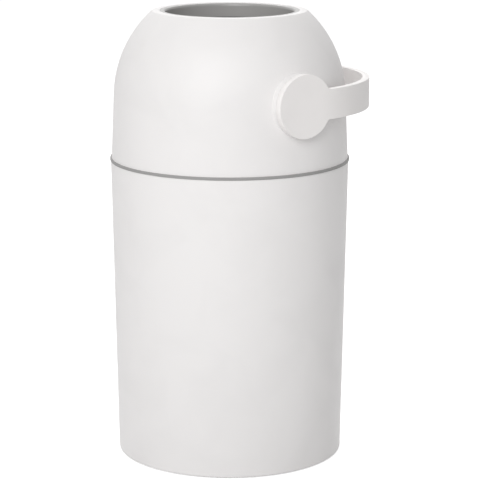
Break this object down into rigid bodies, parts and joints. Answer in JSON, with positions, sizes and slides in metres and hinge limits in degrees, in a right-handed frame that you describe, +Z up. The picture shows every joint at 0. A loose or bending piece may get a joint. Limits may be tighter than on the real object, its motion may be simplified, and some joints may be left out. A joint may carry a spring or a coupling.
{
  "type": "nappy bin",
  "caption": "Round nappy bin: slightly tapered white base, grey seam ring and lift-off dome head, with a scoop bowl under the mouth that a U-shaped swing handle turns over.",
  "frame": {"origin": "on the floor, at the vertical axis of the round base", "axes": "+Z up through the middle of the base and of the mouth; -Y front; +Y back, where the handle lies level at rest; the handle turns about an axle along X"},
  "size_m": [0.271, 0.2873, 0.49],
  "materials": {
    "white_plastic": "satin moulded, soft highlights",
    "grey_plastic": "fine matt grain",
    "rubber": "dull",
    "bearing_plastic": "waxy, slightly translucent look",
    "steel": "bright zinc plate"
  },
  "bodies": {
    "base": {"base_shell": "white_plastic", "rubber_feet": "rubber"},
    "ring": {"bag_ring": "grey_plastic"},
    "head": {"dome_shell": "white_plastic", "throat_liner": "grey_plastic", "throat_seal": "rubber", "rotor_deck": "grey_plastic", "drop_seal": "rubber", "head_gasket": "rubber", "deck_screws": "steel", "stop_bumpers": "rubber", "bearing_bush_left": "bearing_plastic", "bearing_bush_right": "bearing_plastic"},
    "rotor": {"scoop_bowl": "grey_plastic", "axle_left": "bearing_plastic", "axle_right": "bearing_plastic", "slip_washer_left": "bearing_plastic", "slip_washer_right": "bearing_plastic", "handle": "white_plastic", "hub_screw_left": "steel", "hub_screw_right": "steel", "hub_washer_left": "steel", "hub_washer_right": "steel", "hub_cap_left": "grey_plastic", "hub_cap_right": "grey_plastic"}
  },
  "joints": [
    {"name": "ring_lift", "type": "slide", "parent": "base", "child": "ring", "axis": [0, 0, 1], "range_m": [0, 0.06]},
    {"name": "head_lift", "type": "slide", "parent": "ring", "child": "head", "axis": [0, 0, 1], "range_m": [0, 0.2]},
    {"name": "handle_swing", "type": "hinge", "parent": "head", "child": "rotor", "pos_m": [0, 0, 0.401], "axis": [1, 0, 0], "range_deg": [0, 180]}
  ]
}
